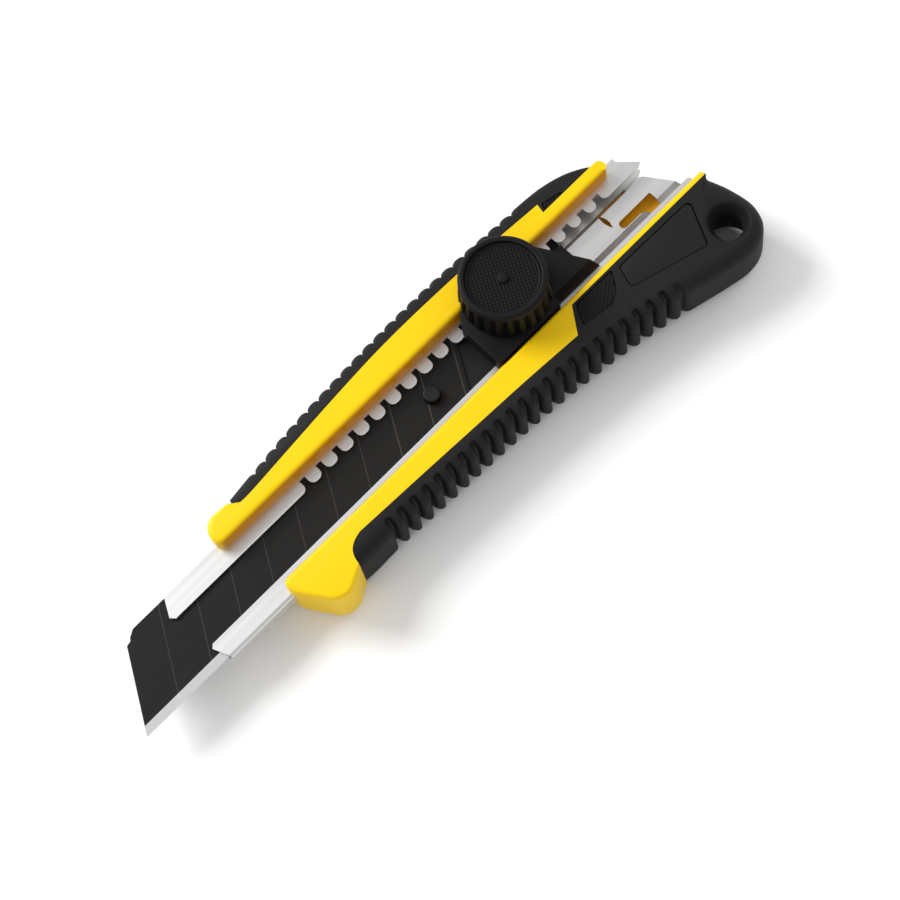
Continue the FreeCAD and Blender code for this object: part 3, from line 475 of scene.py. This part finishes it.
elastomer, tree, shader = finish_of("black_elastomer", {"Specular IOR Level": 0.18})
mottle = grained(tree, shader, (2200.0, 70.0), 0.020)
between(tree, mottle, (0.0065, 0.0065, 0.0067), (0.012, 0.012, 0.0123), shader.inputs["Base Color"])
between(tree, mottle, 0.52, 0.68, shader.inputs["Roughness"])


def columns(points, first, spacing, count, offsets):
    """The outline's points, with those near the ribs moved to set offsets from each groove."""
    line = sorted((point.x, point.y) for point in points)
    places = [first - number * spacing + offset for number in range(count) for offset in offsets]
    low, high = min(places), max(places)
    places += [x for x, y in line if x < low - 0.4 or x > high + 0.4]
    made = []
    for x in sorted(places):
        for (x1, y1), (x2, y2) in zip(line, line[1:]):
            if x1 <= x <= x2:
                made.append(Vector((x, y1 + (y2 - y1) * (x - x1) / max(x2 - x1, 1e-9))))
                break
    return made


def groove(x, first, spacing, count, half, lip):
    """How deep a groove is at x, from 0 on the crest of a round rib to 1 on its floor."""
    number = min(max(round((first - x) / spacing), 0), count - 1)
    away = abs(x - (first - number * spacing))
    climb = min(max((away - half) / lip, 0), 1)
    return 1 - math.sqrt(1 - (1 - climb) ** 2)


RIB_COLUMNS = (-2.25, -1.95, -1.65, -1.4, -1.15, -0.95, -0.75, -0.55, -0.3, 0.0,
               0.3, 0.55, 0.75, 0.95, 1.15, 1.4, 1.65, 1.95)
outer = columns(flow(*GRIP_EDGE_OUTER, step=1.0), FIRST_GROOVE, RIB_PITCH, RIB_COUNT, RIB_COLUMNS)
grip = outer[::-1] + flow(*GRIP_TAIL, step=1.0)[1:] + [Vector((56, CHANNEL))]
bm = slab(grip, GRIP_LOW, HANDLE_TOP)
for level in (HANDLE_TOP, GRIP_LOW):
    round_rim(bm, level, 4.5, 9, lambda x, y: x < 55.9 and y > 12)
bm.normal_update()
# the ribs fade out where the grip turns over to its top and underside
for vert in bm.verts:
    x, z = vert.co.x, vert.co.z
    turn = vert.normal.y - 0.12
    if -71 <= x <= 37.5 and turn >= 0:
        depth = GROOVE_DEPTH * groove(x, FIRST_GROOVE, RIB_PITCH, RIB_COUNT, GROOVE_HALF, GROOVE_LIP)
        if x < LAST_GROOVE + RIB_PITCH / 2:
            depth *= 0.6
        shift = -depth * min(turn / 0.35, 1)
        vert.co += Vector((0, 0.92, 0.15 if z > -3 else -0.15)).normalized() * shift
bmesh.ops.recalc_face_normals(bm, faces=bm.faces)


def turned(profile, steps, centre=(0, 0)):
    """A turned solid about an upright axis, from (radius, height) points."""
    bm = bmesh.new()
    ring = [bm.verts.new((radius, 0, height)) for radius, height in profile]
    line = [bm.edges.new(pair) for pair in zip(ring, ring[1:])]
    bmesh.ops.spin(bm, geom=ring + line, cent=(0, 0, 0), axis=(0, 0, 1), angle=2 * math.pi,
                   steps=steps, use_merge=True)
    bmesh.ops.remove_doubles(bm, verts=bm.verts, dist=1e-4)
    bmesh.ops.recalc_face_normals(bm, faces=bm.faces)
    bmesh.ops.translate(bm, vec=(*centre, 0), verts=bm.verts)
    return bm


HANG_HOLE = (-92.5, 26.5)
hole = turned([(0, -20), (7.4, -20), (7.4, -13), (6.8, -12.3), (6.4, -11.0), (4.3, -3.4), (4.1, -2.4),
               (4.1, 2.0), (4.4, 2.6), (5.6, 5.4), (6.0, 6.1), (6.8, 6.7), (7.4, 9), (0, 9)],
              48, HANG_HOLE)
bm = carved(bm, slab(edge_wall, CORE_LOW - 0.05, HANDLE_TOP + 1))
bm = carved(bm, slab(nose + [Vector((43, CHANNEL - 1))], GRIP_LOW - 1, CORE_LOW))
bm = carved(bm, hole)
bm = carved(bm, block(-110, 0, -40, SLOT_HALF, SLOT_LOW, SLOT_TOP))
INLAY_DEPTH = 1.2
THUMB_PAD = [(-45.3, 12.4, 0.5), (-42.0, 18.6, 0.7), (-52.5, 19.9, 1.5), (-56.4, 17.6, 2.0),
             (-59.8, 12.4, 0.5)]
NAME_PANEL = [(-61.6, 13.3, 1.0), (-90.2, 13.8, 1.5), (-83.4, 27.4, 1.0), (-59.4, 20.4, 1.5)]
for sunk in (THUMB_PAD, NAME_PANEL):
    bm = carved(bm, slab(rounded(*sunk), HANDLE_TOP - INLAY_DEPTH, HANDLE_TOP + 2))
shown_as(in_frame(bm), "grip_tail", "handle", "black_elastomer", elastomer, "grip_edge_side", crease=45)

VALLEY_COLUMNS = (-2.25, -1.7, -1.1, -0.7, -0.35, 0.0, 0.35, 0.7, 1.1, 1.7)
outer = columns(flow(*GRIP_SPINE_OUTER, step=1.0), FIRST_VALLEY, RIB_PITCH, RIB_COUNT, VALLEY_COLUMNS)
grip = outer + [Vector((66, -CHANNEL)), Vector((-79.6, -CHANNEL))]
bm = slab(grip, GRIP_LOW, HANDLE_TOP)
for level in (HANDLE_TOP, GRIP_LOW):
    round_rim(bm, level, 1.8, 5, lambda x, y: x < 65.9 and y < -10 and x > -79.5)
bm.normal_update()
for vert in bm.verts:
    x = vert.co.x
    if -57.5 < x < 53 and vert.normal.y < -0.1:
        depth = VALLEY_DEPTH * groove(x, FIRST_VALLEY, RIB_PITCH, RIB_COUNT, 0.0, VALLEY_LIP)
        vert.co.y += depth * min(1, -vert.normal.y / 0.5)
bmesh.ops.recalc_face_normals(bm, faces=bm.faces)
SPINE_PAD = [(-61.0, -16.2, 0.6), (-60.2, -14.1, 0.4), (-69.6, -14.1, 0.3)]
bm = carved(bm, slab(rounded(*SPINE_PAD), HANDLE_TOP - INLAY_DEPTH, HANDLE_TOP + 2))
bm = carved(bm, slab(spine_wall, CORE_LOW - 0.05, HANDLE_TOP + 1))
bm = carved(bm, block(60.8, -30, 70, 0, GRIP_LOW - 1, HANDLE_TOP + 1))
shown_as(in_frame(bm), "grip_spine", "handle", "black_elastomer", elastomer, "grip_spine_side", crease=45)

# ---------------------------------------------------------------- grip inlays
# Firm black inlays pressed into the grips: two thumb pads cut into small pyramids by
# crossed V grooves, and a plain panel where the owner's name can go.


def knurled(outline, low, high, pitch, depth, turn):
    """A plate whose top is small pyramids, in rows turned by an angle, cut to an outline."""
    middle = sum((Vector(point) for point in outline), Vector((0, 0))) / len(outline)
    reach = max((Vector(point) - middle).length for point in outline) + pitch
    count = 2 * math.ceil(reach / pitch)
    reach = count * pitch / 2
    bm = bmesh.new()
    bmesh.ops.create_grid(bm, x_segments=2 * count, y_segments=2 * count, size=reach)
    for vert in bm.verts:
        odd = [round((place + reach) / (pitch / 2)) % 2 for place in vert.co[:2]]
        vert.co.z = high if all(odd) else high - depth
    under = bmesh.ops.extrude_face_region(bm, geom=bm.faces[:])["geom"]
    for item in under:
        if isinstance(item, bmesh.types.BMVert):
            item.co.z = low
    bmesh.ops.recalc_face_normals(bm, faces=bm.faces)
    spun = Matrix.Rotation(math.radians(turn), 3, "Z")
    bmesh.ops.rotate(bm, cent=(0, 0, 0), matrix=spun, verts=bm.verts)
    bmesh.ops.translate(bm, vec=(*middle, 0), verts=bm.verts)
    return carved(bm, slab(outline, low - 1, high + 1), "INTERSECT")


def shrunk(outline, gap):
    """An outline drawn in by about a gap all round."""
    middle = sum((Vector(point[:2]) for point in outline), Vector((0, 0))) / len(outline)
    moved = []
    for point in outline:
        arm = Vector(point[:2]) - middle
        moved.append((*(middle + arm * (1 - gap / arm.length)), *point[2:]))
    return moved


PAD_TOP = HANDLE_TOP - 0.1
for name, outline, stands_for in (("thumb_pad", THUMB_PAD, "thumb_pad_edge"),
                                  ("spine_pad", SPINE_PAD, "thumb_pad_spine")):
    edge = rounded(*shrunk(outline, 0.35))
    bm = knurled(edge, HANDLE_TOP - INLAY_DEPTH, PAD_TOP + 0.05, 1.05, 0.35, 38)
    shown_as(in_frame(bm), name, "handle", "black_elastomer", black_plastic, stands_for, crease=20)
bm = slab(rounded(*shrunk(NAME_PANEL, 0.3)), HANDLE_TOP - INLAY_DEPTH, PAD_TOP - 0.1)
round_rim(bm, PAD_TOP - 0.1, 0.35, 3)
shown_as(in_frame(bm), "owner_panel", "handle", "black_elastomer", elastomer, "name_panel")

# ---------------------------------------------------------------- slider
# The black nylon block that runs on the rail and carries blade and knob; its raised
# rear is what the thumb pulls back on.

shown_as(softened("slider_body", 0.7, 3, 40), "slider_block", "slider", "black_plastic", black_plastic,
         "slider_body")

# ---------------------------------------------------------------- knob
# Black nylon wheel with a plain rim over a fluted skirt. A finely knurled disc with a
# small round button snaps into its top and hides the brass insert.

KNOB_RADIUS = 12.6
KNOB_LOW = 7.25
KNOB_TOP = 19.0
WELL_FLOOR = 16.6
SKIRT_INSIDE = 11.4
FLUTES = 24
FLUTE_DEPTH = 1.3
FLUTE_TOP = 16.1
knob_low, knob_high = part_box("knob_disc")
knob_centre = (((knob_low + knob_high) / 2 - PIN).xy / MM).to_tuple()
disc_radius = KNOB_RADIUS - 1.9
bm = turned([(3.4, KNOB_LOW), (12.6, KNOB_LOW), (13.1, KNOB_LOW + 0.3), (13.3, KNOB_LOW + 0.9),
             (13.1, 12.0), (12.7, 15.4), (12.55, 15.9), (12.5, 16.3), (12.5, 16.6), (12.6, 16.9),
             (12.6, 18.0), (12.5, 18.45), (12.25, 18.8), (11.85, KNOB_TOP), (11.2, KNOB_TOP), (10.9, 18.9),
             (10.75, 18.65), (disc_radius, WELL_FLOOR), (5.2, WELL_FLOOR), (5.2, 8.45), (3.4, 8.45),
             (3.4, KNOB_LOW)], FLUTES * 10)
for vert in bm.verts:
    radius = vert.co.xy.length
    if radius > SKIRT_INSIDE and vert.co.z < WELL_FLOOR:
        share = (math.atan2(vert.co.y, vert.co.x) / (2 * math.pi) * FLUTES) % 1
        depth = FLUTE_DEPTH * max(0, math.cos(2 * math.pi * share)) ** 0.8
        vert.co.xy *= 1 - depth * min(1, max(0, (FLUTE_TOP - vert.co.z) / 0.6)) / radius
bmesh.ops.translate(bm, vec=(*knob_centre, 0), verts=bm.verts)
shown_as(in_frame(bm), "knob_wheel", "knob", "black_plastic", black_plastic, "knob_body", crease=50)

DISC_TOP = KNOB_TOP - 0.9
rim_points = []
for step in range(90):
    angle = math.radians(4 * step)
    rim_points.append((knob_centre[0] + (disc_radius - 0.5) * math.cos(angle),
                       knob_centre[1] + (disc_radius - 0.5) * math.sin(angle)))
hatch = knurled(rim_points, 16.8, DISC_TOP, 1.0, 0.42, 62)
ring = turned([(disc_radius - 0.75, 16.7), (disc_radius - 0.05, 16.7),
               (disc_radius - 0.05, DISC_TOP - 0.1), (disc_radius - 0.15, DISC_TOP),
               (disc_radius - 0.45, DISC_TOP), (disc_radius - 0.75, DISC_TOP - 0.2),
               (disc_radius - 0.75, 16.7)], 120, knob_centre)
button = turned([(0, 17.0), (1.7, 17.0), (1.7, DISC_TOP), (1.62, DISC_TOP + 0.3), (1.35, DISC_TOP + 0.55),
                 (0.9, DISC_TOP + 0.68), (0.4, DISC_TOP + 0.72), (0, DISC_TOP + 0.72)], 40, knob_centre)
bm = carved(carved(hatch, ring, "UNION"), button, "UNION")
shown_as(in_frame(bm), "knob_cap", "knob", "black_plastic", black_plastic, "knob_disc", crease=25)
